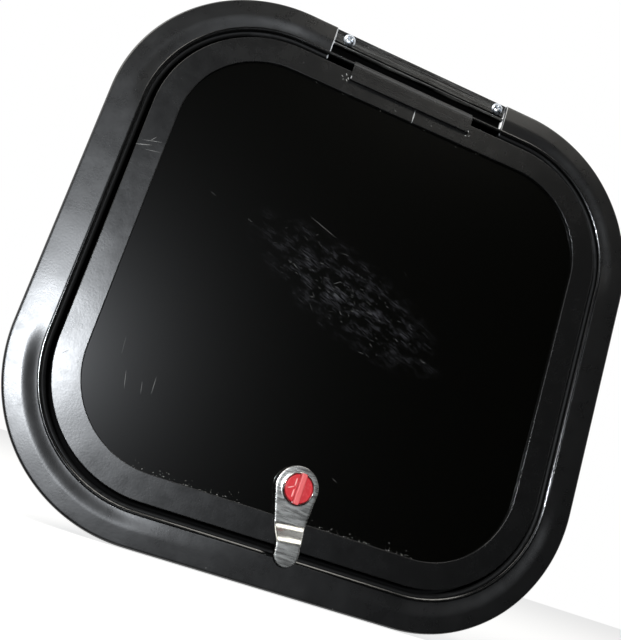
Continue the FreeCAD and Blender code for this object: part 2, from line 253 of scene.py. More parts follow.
def buildStage():
    half = stage["floorSize"] / 2
    low = cadBox[0][2] - stage["floorGap"]
    white = linear(stage["floorColour"])
    floor = flatCard("paleFloor", [(-half, -half, low), (half, -half, low), (half, half, low), (-half, half, low)],
                     Base_Color=white, Emission_Color=white)
    tree = floor.data.materials[0].node_tree
    glow = addNode(tree, "ShaderNodeMath", {0: seenDirectly(tree)}, {1: stage["floorGlow"]}, operation="MULTIPLY")
    tree.links.new(glow.outputs[0], tree.nodes["Principled BSDF"].inputs["Emission Strength"])
    # the card and the flag are seen by reflections only, and keep the white surroundings off the black gloss
    y = stage["cardAt"]
    left, right = stage["cardSides"]
    tall = stage["cardHeight"]
    near = -stage["flagGap"]
    rise = low + stage["flagRise"]
    darkCorners = {
        "darkCard": [(left, y, low), (right, y, low), (right, y, tall), (left, y, tall)],
        "floorFlag": [(left, y, rise), (right, y, rise), (right, near, rise), (left, near, rise)],
    }
    for name, corners in darkCorners.items():
        dark = flatCard(name, corners, Base_Color=linear(stage["cardColour"]))
        dark.visible_camera = False
        dark.visible_shadow = False
        dark.visible_diffuse = False
    world = bpy.data.worlds.new("studio")
    bpy.context.scene.world = world
    world.use_nodes = True
    tree = world.node_tree
    ground = tree.nodes["Background"]
    ground.inputs["Color"].default_value = (1, 1, 1, 1)
    level = addNode(tree, "ShaderNodeMapRange", {"Value": seenDirectly(tree)}, band((0, 1), (stage["fill"], 1.0)))
    tree.links.new(level.outputs[0], ground.inputs["Strength"])
    target = Vector((stage["windowTarget"][0], 0, midZ + stage["windowTarget"][1]))
    window = target + Vector(stage["windowAim"]).normalized() * stage["windowDistance"]
    softLamp("windowLight", window, target, stage["windowSize"], stage["windowWatts"], stage["coolLight"])
    for lamp in ("soft", "ceiling"):
        softLamp(lamp + "Light", Vector(stage[lamp + "Place"]), Vector((0, 0, midZ)),
                 stage[lamp + "Size"], stage[lamp + "Watts"], stage["warmLight"])
    bpy.context.scene.view_settings.view_transform = "Standard"


buildStage()
print("stage built")


# powder coat on bent aluminium: satin black, the fine pebble of sprayed powder, slow waves from bending, pale dust
coat = {
    "black": "#080808",
    "dust": "#777774",
    # near-black colour of the painted shade in recesses
    "recessShade": "#020202",
    "bare": "#c9cbcd",
    "index": 1.6,
    "peelScale": 900,           # about 1 mm pebble
    "peelDepth": 1.7e-5,
    "waveScale": 30,            # about 35 mm waves
    "waveDepth": 2.2e-4,
    "wearScale": 70,
    "wearBand": (0.35, 0.7),
    "roughGain": 0.07,
    "speckScale": 150,          # one speck in about 7 mm
    "speckBand": (0.02, 0.045),
    "speckShare": (0.56, 0.62),
    "drawnM": (0.03, 0.01, 0.00035),
    "drawnBand": (0.48, 0.74),
    # painted shade in recesses: its fade distance, and the sheen and clear coat left under it
    "recessShadeFadeMm": 0.5,
    "recessShadeSheen": 0.03,
    "recessShadeFilm": 0.02,
    "bareMm": (0.25, 0.45),
    "edgeRound": 3e-4,
}


def mixColour(tree, factor, first, second):
    # the second colour over the first one, which is a socket or a hex colour
    plain = {7: linear(second)}
    links = {"Factor": factor}
    if isinstance(first, str):
        plain[6] = linear(first)
    else:
        links[6] = first
    return addNode(tree, "ShaderNodeMix", links, plain, data_type="RGBA").outputs[2]


def coatMaterial(name, deep=None, bareEnds=None, drawn=None, sheen=0.09, haze=0.23, clear=0.75, body=0.45):
    material, tree, shader, place = newMaterial(
        name, Base_Color=linear(coat["black"]), Roughness=body, Specular_IOR_Level=sheen,
        Coat_Weight=clear, Coat_Roughness=haze, Coat_IOR=coat["index"])
    normal = addNode(tree, "ShaderNodeBevel", values={"Radius": coat["edgeRound"]}, samples=4).outputs[0]
    for key, detail in (("wave", 1.0), ("peel", 2.0)):
        height = addNode(tree, "ShaderNodeTexNoise", {"Vector": place},
                         {"Scale": coat[key + "Scale"], "Detail": detail})
        normal = addNode(tree, "ShaderNodeBump", {"Height": height.outputs[0], "Normal": normal},
                         {"Strength": 1, "Distance": coat[key + "Depth"]}).outputs[0]
    tree.links.new(normal, shader.inputs["Normal"])
    tree.links.new(normal, shader.inputs["Coat Normal"])
    wear = addNode(tree, "ShaderNodeTexNoise", {"Vector": place},
                   {"Scale": coat["wearScale"], "Detail": 6, "Roughness": 0.7}).outputs[0]
    rough = addNode(tree, "ShaderNodeMapRange", {"Value": wear},
                    band(coat["wearBand"], (haze, haze + coat["roughGain"])))
    tree.links.new(rough.outputs[0], shader.inputs["Coat Roughness"])
    cell = addNode(tree, "ShaderNodeTexVoronoi", {"Vector": place}, {"Scale": coat["speckScale"]})
    dot = addNode(tree, "ShaderNodeMapRange", {"Value": cell.outputs["Distance"]}, band(coat["speckBand"], (1, 0)))
    some = addNode(tree, "ShaderNodeMapRange", {"Value": wear}, band(coat["speckShare"]))
    speck = addNode(tree, "ShaderNodeMath", {0: dot.outputs[0], 1: some.outputs[0]}, operation="MULTIPLY")
    colour = mixColour(tree, speck.outputs[0], coat["black"], coat["dust"])
    if drawn is not None:
        # lines worn along the drawn section, paler where hands and tools rub
        stretched = addNode(tree, "ShaderNodeMapping", {"Vector": place}, {"Scale": coat["drawnM"]},
                            vector_type="TEXTURE")
        lines = addNode(tree, "ShaderNodeTexNoise", {"Vector": stretched.outputs[0]},
                        {"Scale": 1, "Detail": 4, "Roughness": 0.7})
        worn = addNode(tree, "ShaderNodeMapRange", {"Value": lines.outputs[0]}, band(coat["drawnBand"]))
        colour = mixColour(tree, worn.outputs[0], colour, drawn)
    axes = addNode(tree, "ShaderNodeSeparateXYZ", {0: place}).outputs
    if deep is not None:
        # painted shade in the recess: from the given depth back, the colour goes near black and the sheen and clear
        # coat fade
        edges = ((deep - coat["recessShadeFadeMm"]) * mm, deep * mm)
        depth = addNode(tree, "ShaderNodeMapRange", {"Value": axes["Y"]}, band(edges)).outputs[0]
        shine = addNode(tree, "ShaderNodeMapRange", {"Value": depth}, band((0, 1), (sheen, coat["recessShadeSheen"])))
        film = addNode(tree, "ShaderNodeMapRange", {"Value": depth}, band((0, 1), (clear, coat["recessShadeFilm"])))
        tree.links.new(shine.outputs[0], shader.inputs["Specular IOR Level"])
        tree.links.new(film.outputs[0], shader.inputs["Coat Weight"])
        colour = mixColour(tree, depth, colour, coat["recessShade"])
    if bareEnds is not None:
        # sawn ends show the bare aluminium
        near, far = coat["bareMm"]
        leftEdges = ((bareEnds[0] + near) * mm, (bareEnds[0] + far) * mm)
        rightEdges = ((bareEnds[1] - far) * mm, (bareEnds[1] - near) * mm)
        left = addNode(tree, "ShaderNodeMapRange", {"Value": axes["X"]}, band(leftEdges, (1, 0)))
        right = addNode(tree, "ShaderNodeMapRange", {"Value": axes["X"]}, band(rightEdges))
        bare = addNode(tree, "ShaderNodeMath", {0: left.outputs[0], 1: right.outputs[0]},
                       operation="MAXIMUM").outputs[0]
        tree.links.new(bare, shader.inputs["Metallic"])
        colour = mixColour(tree, bare, colour, coat["bare"])
    tree.links.new(colour, shader.inputs["Base Color"])
    return material


flangeCoat = coatMaterial("satinBlackPowderCoat", sheen=0.15, haze=0.26, clear=1.0)
dress(flangeCoat, "frame_flange")
dress(coatMaterial("smoothBlackPowderCoat"), "door_ring")
# painted shade in the recesses: the neck from y = -2.4 mm back and the hinge strip's trough from y = -2.2 mm back go
# near black
dress(coatMaterial("recessShadedPowderCoat", deep=-2.4), "frame_neck")
dress(coatMaterial("sawnHingeStripCoat", deep=-2.2, bareEnds=(-62.7, 61.7), drawn="#6e6e6c"), "notch_strip")
dress(coatMaterial("drawnHingeLeafCoat", drawn="#1c1c1d"), "hinge_door_leaf")

# bare aluminium left by a saw: pale, dull, with the saw's fine lines
sawnLook = {"colour": "#d4d6d8", "roughness": 0.42, "metallic": 1.0,
            "pattern": "ShaderNodeTexNoise", "scale": 2600, "detail": 2, "depth": 1.5e-5}
bareMetal = grainedMaterial("sawnBareAluminium", sawnLook)

# gloss sheet: a clear sharp face over a faintly hazed black, with a dull patch of rub streaks at its middle
rubPatch = {
    "middleMm": (-4.0, 7.0),
    "lean": 19.0,           # degrees below level, to the right
    "halfMm": (72.0, 25.0),
    "clusterMm": (13.0, 6.0),
    "streakMm": (8.0, 0.55),
    "fade": (0.3, 1.1),
    "clusterBand": (0.46, 0.68),
    "streakBand": (0.46, 0.7),
    "black": "#020201",
    "dull": "#55555a",
}
glossSheet, tree, shader, place = newMaterial(
    "rubbedGlossBlackSheet", Base_Color=linear(rubPatch["black"]), Roughness=0.3,
    Specular_IOR_Level=0.085, Coat_Weight=1.0, Coat_Roughness=0.05)
patchPlace = (midX + rubPatch["middleMm"][0] * mm, 0, midZ + rubPatch["middleMm"][1] * mm)
masks = []
for key in ("halfMm", "clusterMm", "streakMm"):
    along, across = rubPatch[key]
    masks.append(addNode(tree, "ShaderNodeMapping", {"Vector": place}, {
        "Location": patchPlace, "Rotation": (0, math.radians(rubPatch["lean"]), 0),
        "Scale": (along * mm, 1, across * mm)}, vector_type="TEXTURE").outputs[0])
reach = addNode(tree, "ShaderNodeVectorMath", {0: masks[0]}, operation="LENGTH")
inside = addNode(tree, "ShaderNodeMapRange", {"Value": reach.outputs["Value"]}, band(rubPatch["fade"], (1, 0)))
cluster = addNode(tree, "ShaderNodeTexNoise", {"Vector": masks[1]}, {"Scale": 1, "Detail": 3, "Roughness": 0.6})
thick = addNode(tree, "ShaderNodeMapRange", {"Value": cluster.outputs[0]}, band(rubPatch["clusterBand"]))
streak = addNode(tree, "ShaderNodeTexNoise", {"Vector": masks[2]}, {"Scale": 1, "Detail": 4, "Roughness": 0.7})
strong = addNode(tree, "ShaderNodeMapRange", {"Value": streak.outputs[0]}, band(rubPatch["streakBand"]))
both = addNode(tree, "ShaderNodeMath", {0: thick.outputs[0], 1: strong.outputs[0]}, operation="MULTIPLY")
rubbed = addNode(tree, "ShaderNodeMath", {0: both.outputs[0], 1: inside.outputs[0]}, operation="MULTIPLY")
tree.links.new(mixColour(tree, rubbed.outputs[0], rubPatch["black"], rubPatch["dull"]), shader.inputs["Base Color"])
dress(glossSheet, "front_panel")

# seal rubber: near black and dull, with fine cross wrinkles
sealLook = {"colour": "#0c0c0c", "roughness": 0.55, "specular": 0.22,
            "pattern": "ShaderNodeTexNoise", "scale": 650, "detail": 3, "depth": 4e-5}
dress(grainedMaterial("wipedSealRubber", sealLook), "lip_seal")

# foam rubber: dead black with open pores
poreLook = {"colour": "#0c0c0c", "roughness": 0.95, "specular": 0.1,
            "pattern": "ShaderNodeTexVoronoi", "scale": 1100, "depth": 8e-5}
dress(grainedMaterial("blackFoamRubber", poreLook), "stop_seal", "pull_gasket")

# zinc plate: bright, faintly blue, with cloudy plating
zincLook = {"colour": "#e3e9f0", "roughness": 0.3, "cloudScale": 500, "cloudBand": (0.3, 0.7), "blur": (0.2, 0.42)}
zinc, tree, shader, place = newMaterial("blueZincPlate", Base_Color=linear(zincLook["colour"]), Metallic=1.0,
                                        Roughness=zincLook["roughness"])
cloud = addNode(tree, "ShaderNodeTexNoise", {"Vector": place}, {"Scale": zincLook["cloudScale"], "Detail": 4})
plate = addNode(tree, "ShaderNodeMapRange", {"Value": cloud.outputs[0]}, band(zincLook["cloudBand"], zincLook["blur"]))
tree.links.new(plate.outputs[0], shader.inputs["Roughness"])
dress(zinc, "hinge_screw_left", "hinge_screw_right", "frame_splice", "lock_washer", "lock_nut", "cam", "cam_screw")

# worn plate: chrome gone soft with handling, faint streaks across and a smoother joggle
chromeLook = {
    "colour": "#dadad6",
    "roughness": 0.3,
    "streakM": (0.012, 0.02, 0.0016),
    "streakBand": (0.35, 0.65),
    "blur": (0.22, 0.33),
    "joggleLow": (-0.144, -0.141),      # z from the door's middle
    "joggleHigh": (-0.134, -0.131),
    "joggleBlur": 0.2,
    "rimRound": 6e-4,
    "pressScale": 0.6,
    "pressDepth": 9e-5,
}
chrome, tree, shader, place = newMaterial("handledChromePlate", Base_Color=linear(chromeLook["colour"]), Metallic=1.0,
                                          Roughness=chromeLook["roughness"])
across = addNode(tree, "ShaderNodeMapping", {"Vector": place}, {"Scale": chromeLook["streakM"]},
                 vector_type="TEXTURE").outputs[0]
smudge = addNode(tree, "ShaderNodeTexNoise", {"Vector": across}, {"Scale": 1, "Detail": 5, "Roughness": 0.6})
blur = addNode(tree, "ShaderNodeMapRange", {"Value": smudge.outputs[0]},
               band(chromeLook["streakBand"], chromeLook["blur"]))
height = addNode(tree, "ShaderNodeSeparateXYZ", {0: place}).outputs["Z"]
above = addNode(tree, "ShaderNodeMapRange", {"Value": height}, band([midZ + z for z in chromeLook["joggleLow"]]))
below = addNode(tree, "ShaderNodeMapRange", {"Value": height},
                band([midZ + z for z in chromeLook["joggleHigh"]], (1, 0)))
joggle = addNode(tree, "ShaderNodeMath", {0: above.outputs[0], 1: below.outputs[0]}, operation="MULTIPLY")
polish = addNode(tree, "ShaderNodeMix", {"Factor": joggle.outputs[0], 2: blur.outputs[0]},
                 {3: chromeLook["joggleBlur"]})
tree.links.new(polish.outputs[0], shader.inputs["Roughness"])
rim = addNode(tree, "ShaderNodeBevel", values={"Radius": chromeLook["rimRound"]}, samples=6)
press = addNode(tree, "ShaderNodeTexNoise", {"Vector": across}, {"Scale": chromeLook["pressScale"], "Detail": 1})
waves = addNode(tree, "ShaderNodeBump", {"Height": press.outputs[0], "Normal": rim.outputs[0]},
                {"Strength": 1, "Distance": chromeLook["pressDepth"]})
tree.links.new(waves.outputs[0], shader.inputs["Normal"])
dress(chrome, "finger_pull")

# turned and polished chrome: a bright mirror collar with soft edges and a faint unevenness
collarLook = {"colour": "#e4e4e2", "roughness": 0.14, "edgeRound": 7e-4, "grainScale": 900, "grainDepth": 1.2e-5}
collar, tree, shader, place = newMaterial("polishedChromePlate", Base_Color=linear(collarLook["colour"]), Metallic=1.0,
                                          Roughness=collarLook["roughness"])
soft = addNode(tree, "ShaderNodeBevel", values={"Radius": collarLook["edgeRound"]}, samples=6)
lathe = addNode(tree, "ShaderNodeTexNoise", {"Vector": place}, {"Scale": collarLook["grainScale"], "Detail": 2})
uneven = addNode(tree, "ShaderNodeBump", {"Height": lathe.outputs[0], "Normal": soft.outputs[0]},
                 {"Strength": 1, "Distance": collarLook["grainDepth"]})
tree.links.new(uneven.outputs[0], shader.inputs["Normal"])
dress(collar, "lock_body")

# moulded plastic: clear red with a soft sheen, rubbed paler in its grain; a painted highlight turns the proud top of
# the thumb turn's raised rib pale pink
redLook = {
    "colour": "#c9202a",
    "rubbed": "#e2686a",
    "ridge": "#e46c6c",
    "roughness": 0.36,
    "rubScale": 700,
    "rubBand": (0.5, 0.75),
    "rubMost": 0.45,
    "ridgeY": (-0.0156, -0.0146),
    "ridgeMost": 0.75,
}
redPlastic, tree, shader, place = newMaterial("mouldedRedPlastic", Base_Color=linear(redLook["colour"]),
                                              Roughness=redLook["roughness"])
rub = addNode(tree, "ShaderNodeTexNoise", {"Vector": place}, {"Scale": redLook["rubScale"], "Detail": 5})
worn = addNode(tree, "ShaderNodeMapRange", {"Value": rub.outputs[0]}, band(redLook["rubBand"], (0, redLook["rubMost"])))
tint = mixColour(tree, worn.outputs[0], redLook["colour"], redLook["rubbed"])
# painted highlight: pale pink mixed in on the rib's proud top, chosen by its depth
proud = addNode(tree, "ShaderNodeSeparateXYZ", {0: place}).outputs["Y"]
gripHighlight = addNode(tree, "ShaderNodeMapRange", {"Value": proud}, band(redLook["ridgeY"], (redLook["ridgeMost"], 0)))
tree.links.new(mixColour(tree, gripHighlight.outputs[0], tint, redLook["ridge"]), shader.inputs["Base Color"])
dress(redPlastic, "thumb_turn")

# sheet on the door's back: matt black with a fine pressed grain
backLook = {"colour": "#191919", "roughness": 0.62, "pattern": "ShaderNodeTexVoronoi", "scale": 1300, "depth": 6e-5}
dress(grainedMaterial("grainedMattBlackSheet", backLook), "back_panel")

# cut foam: pale and dull, with open cells
foamLook = {"colour": "#c9d3da", "roughness": 0.9, "pattern": "ShaderNodeTexVoronoi", "scale": 1600, "depth": 2e-4}
dress(grainedMaterial("openCutFoam", foamLook), "door_core")
print("materials done")


# flange as bent, in millimetres: its section sags inwards round each corner, and the sawn ends at the notch are bare
flange = {
    "halfX": 178.0,
    "halfZ": 171.0,
    "cornerR": 97.0,
    "notch": (-63.0, 62.0),
    "edgeH": 5.05,
    "edgeRound": 1.5,
    "faceH": 5.4,
    "bulge": 0.05,
    "shoulder": 18.1,
    "end": 18.9,
    "endH": 5.1,
    "back": [(18.8, -3.4), (18.7, -3.0), (18.7, 0), (16.7, 0), (16.7, -3.0), (15.6, -4.3), (3.0, -2.6), (3.0, 0),
             (0, 0)],
    "sagFrom": 9.5,
    "sag": 1.4,
    "sagLead": 26.0,
    "sagFade": 60.0,
    "sagBase": (3.0, 1.2),       # height where the sag begins, and the rise over which it grows
    "ripple": 0.05,
    "rippleRun": (17.0, 7.3),
    "rippleMix": (0.6, 0.25),    # share of the short ripple, share left on the straight runs
    "burr": 0.55,
}


def bentPath():
    # the outer edge from the notch's right end clockwise to its left end: place and inward direction
    halfX, halfZ, cornerR, burr = (flange[key] for key in ("halfX", "halfZ", "cornerR", "burr"))
    runX = halfX - cornerR
    runZ = halfZ - cornerR
    left, right = flange["notch"]
    places, inwards = [], []

    def line(start, end, inward, count):
        share = np.linspace(0, 1, count, endpoint=False)[:, None]
        places.append(np.array(start) * (1 - share) + np.array(end) * share)
        inwards.append(np.repeat(np.array([inward], float), count, axis=0))

    def arc(centre, start, end):
        angle = np.radians(np.linspace(start, end, 72, endpoint=False))[:, None]
        outward = np.hstack([np.cos(angle), np.sin(angle)])
        places.append(np.array(centre) + cornerR * outward)
        inwards.append(-outward)

    line((right, halfZ), (right + burr, halfZ), (0, -1), 1)
    line((right + burr, halfZ), (runX, halfZ), (0, -1), 8)
    arc((runX, runZ), 90, 0)
    line((halfX, runZ), (halfX, -runZ), (-1, 0), 40)
    arc((runX, -runZ), 0, -90)
    line((runX, -halfZ), (-runX, -halfZ), (0, 1), 44)
    arc((-runX, -runZ), -90, -180)
    line((-halfX, -runZ), (-halfX, runZ), (1, 0), 40)
    arc((-runX, runZ), 180, 90)
    line((-runX, halfZ), (left - burr, halfZ), (0, -1), 8)
    line((left - burr, halfZ), (left, halfZ), (0, -1), 1)
    line((left, halfZ), (left, halfZ), (0, -1), 1)
    return np.vstack(places), np.vstack(inwards)


def sweep(place, inward, reach, deep):
    # point = edge place + reach x inward direction, at its own depth
    flat = place[:, None, :] + reach[None, :, None] * inward[:, None, :]
    return np.stack([flat[..., 0], deep, flat[..., 1]], axis=-1)


def flangeSection():
    # closed loop of (inwards, y): foot, rolled edge, gently arched face, shoulder, heel, then the hollow back
    turn = np.radians(np.linspace(0, 90, 7))
    rollR, edgeH, faceH, shoulder = (flange[key] for key in ("edgeRound", "edgeH", "faceH", "shoulder"))
    roll = np.stack([rollR * (1 - np.cos(turn)), -(edgeH - rollR) - rollR * np.sin(turn)], axis=-1)
    share = np.linspace(0, 1, 41)[1:-1]
    arch = 4 * flange["bulge"] * share * (1 - share)
    rise = edgeH + (faceH - edgeH) * share
    face = np.stack([rollR + (shoulder - rollR) * share, -rise - arch], axis=-1)
    wide = flange["end"] - shoulder
    drop = faceH - flange["endH"]
    brow = np.stack([shoulder + wide * np.sin(turn), -faceH + drop * (1 - np.cos(turn))], axis=-1)
    return np.vstack([roll, face, brow, flange["back"]])


def buildFlange():
    # depth = section's y + corner weight x sag, an S across the section, + two sine ripples along the edge
    place, inward = bentPath()
    section = flangeSection()
    step = np.linalg.norm(np.diff(place, axis=0), axis=1)
    along = np.concatenate([[0], np.cumsum(step)])
    lead = flange["sagLead"]
    straight = flange["halfX"] - flange["cornerR"]
    upright = flange["halfZ"] - flange["cornerR"]
    bendX = smooth(straight - flange["sagFade"], straight + lead, np.abs(place[:, 0]))
    bendZ = smooth(upright - lead * 0.5, upright + lead, np.abs(place[:, 1]))
    bent = bendX * bendZ
    reach = section[:, 0]
    base, growth = flange["sagBase"]
    proud = np.clip((-section[:, 1] - base) / growth, 0, 1)
    sag = flange["sag"] * smooth(flange["sagFrom"], flange["end"], reach) * proud
    longRun, shortRun = flange["rippleRun"]
    shortShare, calm = flange["rippleMix"]
    ripple = flange["ripple"] * (np.sin(along / longRun) + np.sin(along / shortRun + 1.0) * shortShare)
    deep = section[None, :, 1] + bent[:, None] * sag[None, :] + (ripple * (calm + bent))[:, None] * proud[None, :]
    points = sweep(place, inward, reach, deep)
    rows, columns = points.shape[:2]
    quads = gridQuads(rows, columns, True)
    caps = [list(range(columns))[::-1], [(rows - 1) * columns + i for i in range(columns)]]
    piece = newPiece("bentFlange", points, quads.tolist() + caps, flangeCoat, "frame")
    piece.data.materials.append(bareMetal)
    row = np.arange(len(quads)) // columns
    bare = np.concatenate([(row == 0) | (row >= rows - 2), [False, False]]).astype(np.int32)
    piece.data.polygons.foreach_set("material_index", bare)
    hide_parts("frame_flange")


# bead along the flange's inner edge: a rounded strip with a gently sloped inner flank, rubbed glossy by the seal
bead = {
    "outer": [(18.1, -4.3), (18.15, -4.8), (18.4, -5.2), (18.8, -5.35)],
    "top": -5.36,
    "flank": (19.2, 20.35),
    "slope": (0.27, 0.7),
    "inner": [(20.46, -4.6), (20.5, -4.2), (20.45, -3.9)],
}


def buildBead():
    # flank depth = top + first slope x run + half the slope's gain x run squared over the flank's width
    place, inward = bentPath()
    run = np.linspace(0, bead["flank"][1] - bead["flank"][0], 14)
    gain = (bead["slope"][1] - bead["slope"][0]) / run[-1]
    drop = bead["top"] + bead["slope"][0] * run + 0.5 * gain * run ** 2
    flank = np.stack([bead["flank"][0] + run, drop], axis=-1)
    section = np.vstack([bead["outer"], flank, bead["inner"]])
    deep = np.broadcast_to(section[:, 1], (len(place), len(section)))
    points = sweep(place, inward, section[:, 0], deep)
    glossy = coatMaterial("rubbedGlossPowderCoat", sheen=0.5, haze=0.12, clear=1.0, body=0.18)
    quads = gridQuads(len(place), len(section), False)
    newPiece("rolledBead", points, quads.tolist(), glossy, "frame")


buildFlange()
buildBead()
print("flange bent")

# finger pull as pressed, in millimetres: a teardrop plate with soft bends and a tumbled edge
pull = {
    "axis": (1.0, -112.0),
    "faceY": -8.2,
    "thick": 1.6,
    "edge": 0.5,
    "headR": 12.8,
    "holeR": 8.2,               # round the lock's barrel
    "holePast": 1.0,
    "waist": (20.5, 9.2),       # distance below the axis, half width
    "tongue": (31.0, 7.1),
    "tipAt": 36.5,
    "softIn": (15, 18),
    "softOut": (33, 35),
    "softSpan": 9,
    "joggle": (19.2, 31.8),
    "joggleH": 6.2,
    "lean": 6.0,
}


def boreLock(piece):
    # a cylinder through the head takes out the lock's hole: rim point = axis + hole radius x (cos turn, sin turn)
    count = 64
    turn = np.linspace(0, 2 * np.pi, count, endpoint=False)
    rim = np.array(pull["axis"]) + pull["holeR"] * np.stack([np.cos(turn), np.sin(turn)], axis=-1)
    depths = (pull["faceY"] - pull["holePast"], pull["faceY"] + pull["thick"] + pull["holePast"])
    points = np.vstack([np.insert(rim, 1, y, axis=1) for y in depths])
    ends = [list(range(count)), list(range(2 * count - 1, count - 1, -1))]
    mesh = bpy.data.meshes.new("lockBore")
    mesh.from_pydata(fromMiddle(points).tolist(), [], gridQuads(2, count, True)[:, ::-1].tolist() + ends)
    cutter = bpy.data.objects.new("lockBore", mesh)
    bpy.context.collection.objects.link(cutter)
    bore = piece.modifiers.new("lockBore", "BOOLEAN")
    bore.operation = "DIFFERENCE"
    bore.object = cutter
    bpy.context.view_layer.update()
    cut = bpy.data.meshes.new_from_object(piece.evaluated_get(bpy.context.evaluated_depsgraph_get()))
    piece.modifiers.clear()
    piece.data = cut
    bpy.data.objects.remove(cutter)
    bpy.data.meshes.remove(mesh)
    cut.set_sharp_from_angle(angle=sharpAngle)


def pullOutline():
    # half width down the length: a round head, straight sides through waist and tongue, a round tip; a running mean
    # softens the corners between
    headR, tipR, tipAt = pull["headR"], pull["tongue"][1], pull["tipAt"]
    low = math.degrees(math.atan((headR - pull["waist"][1]) / pull["waist"][0]))
    head = headR * np.sin(np.radians(np.linspace(-89.7, low, 36)))
    tip = tipAt + tipR * np.sin(np.radians(np.linspace(0, 89.7, 28)))
    down = np.concatenate([head, np.linspace(head[-1] + 0.4, tipAt - 0.4, 80), tip])
    knots = np.array([(head[-1], headR * math.cos(math.radians(low))), pull["waist"], pull["tongue"], (tipAt, tipR)])
    half = np.interp(down, knots[:, 0], knots[:, 1])
    half = np.where(down < head[-1], np.sqrt(np.maximum(headR ** 2 - down ** 2, 0)), half)
    half = np.where(down > tipAt, np.sqrt(np.maximum(tipR ** 2 - (down - tipAt) ** 2, 0)), half)
    span = pull["softSpan"]
    soft = np.convolve(np.pad(half, span // 2, mode="edge"), np.ones(span) / span, mode="valid")
    near = smooth(*pull["softIn"], down) * (1 - smooth(*pull["softOut"], down))
    return down, half * (1 - near) + soft * near


def buildPull():
    # section: a slot of the plate's thickness with round edges, its half width a teardrop down the length, its
    # face let forward by an S through the joggle; the whole leans a few degrees about the lock's axis
    down, half = pullOutline()
    edge, thick = pull["edge"], pull["thick"]
    quarter = np.radians(np.linspace(0, 90, 6))
    sine, cosine = np.sin(quarter), np.cos(quarter)
    across = np.linspace(-1, 1, 21)
    zeros = np.zeros(len(across))
    ones = np.ones(2 * len(quarter))
    # columns: share of the flat half width, share of the edge's radius, depth behind the face
    flatPart = np.concatenate([across, ones, -across, -ones])
    edgePart = np.concatenate([zeros, sine, cosine, zeros, -sine, -cosine])
    depth = np.concatenate([zeros, edge * (1 - cosine), thick - edge * (1 - sine), zeros + thick,
                            thick - edge * (1 - cosine), edge * (1 - sine)])
    edgeR = np.minimum(edge, half * 0.5)
    side = (half - edgeR)[:, None] * flatPart + edgeR[:, None] * edgePart
    face = pull["faceY"] - pull["joggleH"] * smooth(*pull["joggle"], down)
    lean = math.radians(pull["lean"])
    points = np.stack([
        pull["axis"][0] + side * math.cos(lean) + down[:, None] * math.sin(lean),
        face[:, None] + depth[None, :],
        pull["axis"][1] + side * math.sin(lean) - down[:, None] * math.cos(lean),
    ], axis=-1)
    rows, columns = points.shape[:2]
    quads = gridQuads(rows, columns, True)[:, ::-1].tolist()
    caps = [list(range(columns)), [(rows - 1) * columns + i for i in range(columns)][::-1]]
    piece = newPiece("pressedPull", points, quads + caps, chrome, "door")
    boreLock(piece)
    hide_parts("finger_pull")


buildPull()
print("pull pressed")

# marks on the door: pale scratches and rub streaks as thin lens-shaped slips just above the surface
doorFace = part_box("door_ring")[0].y / mm
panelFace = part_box("front_panel")[0].y / mm
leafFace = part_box("hinge_door_leaf")[0].y / mm
slip = {"steps": 7, "tip": 0.12, "lift": 0.02, "panelLift": 0.03, "sealLift": 0.1}

# scuffed lacquer: pale grey, dull, paler where the mark is deeper
scuffLook = {"colour": "#6a6a68", "faint": "#161616", "strong": "#a9a9a6", "roughness": 0.55}
scuffed, tree, shader, place = newMaterial("scratchedLacquer", Base_Color=linear(scuffLook["colour"]),
                                           Roughness=scuffLook["roughness"])
tone = addNode(tree, "ShaderNodeAttribute", attribute_name="tone").outputs["Fac"]
tree.links.new(mixColour(tree, tone, scuffLook["faint"], scuffLook["strong"]), shader.inputs["Base Color"])


def slips(name, starts, ends, widths, tones, y, material, body, blunt=1.0):
    # each slip runs from start to end; its half width is half the width times the sine along it, to the power blunt
    steps = slip["steps"]
    share = np.linspace(0, 1, steps)
    run = ends - starts
    side = np.stack([-run[:, 1], run[:, 0]], axis=-1) / np.linalg.norm(run, axis=1)[:, None]
    line = starts[:, None, :] + run[:, None, :] * share[None, :, None]
    half = widths[:, None] * 0.5 * ((np.sin(np.pi * share) + slip["tip"]) ** blunt)[None, :]
    offset = half[..., None] * side[:, None, :]
    edges = np.stack([line - offset, line + offset], axis=2)
    points = np.stack([edges[..., 0], np.full(edges.shape[:-1], y), edges[..., 1]], axis=-1)
    quads = gridQuads(steps, 2, False)[:, ::-1]
    faces = (quads[None] + (np.arange(len(starts)) * 2 * steps)[:, None, None]).reshape(-1, 4)
    piece = newPiece(name, points, faces.tolist(), material, body)
    shade = piece.data.attributes.new("tone", "FLOAT", "POINT")
    shade.data.foreach_set("value", np.repeat(tones, 2 * steps).astype(np.float32))


def listedSlips(name, rows, y, material, body):
    # rows of start x, start z, end x, end z, width, tone
    rows = np.array(rows, float)
    slips(name, rows[:, :2], rows[:, 2:4], rows[:, 4], rows[:, 5], y, material, body)


rubMarks = {
    "count": 130,
    "spread": (31.0, 10.0),
    "leanSpread": 0.35,
    "length": (1.0, 6.0),
    "lengthShare": (0.3, 1),
    "width": (0.05, 0.2),
    "tone": (0.1, 0.6),
    "tonePower": 1.6,
}


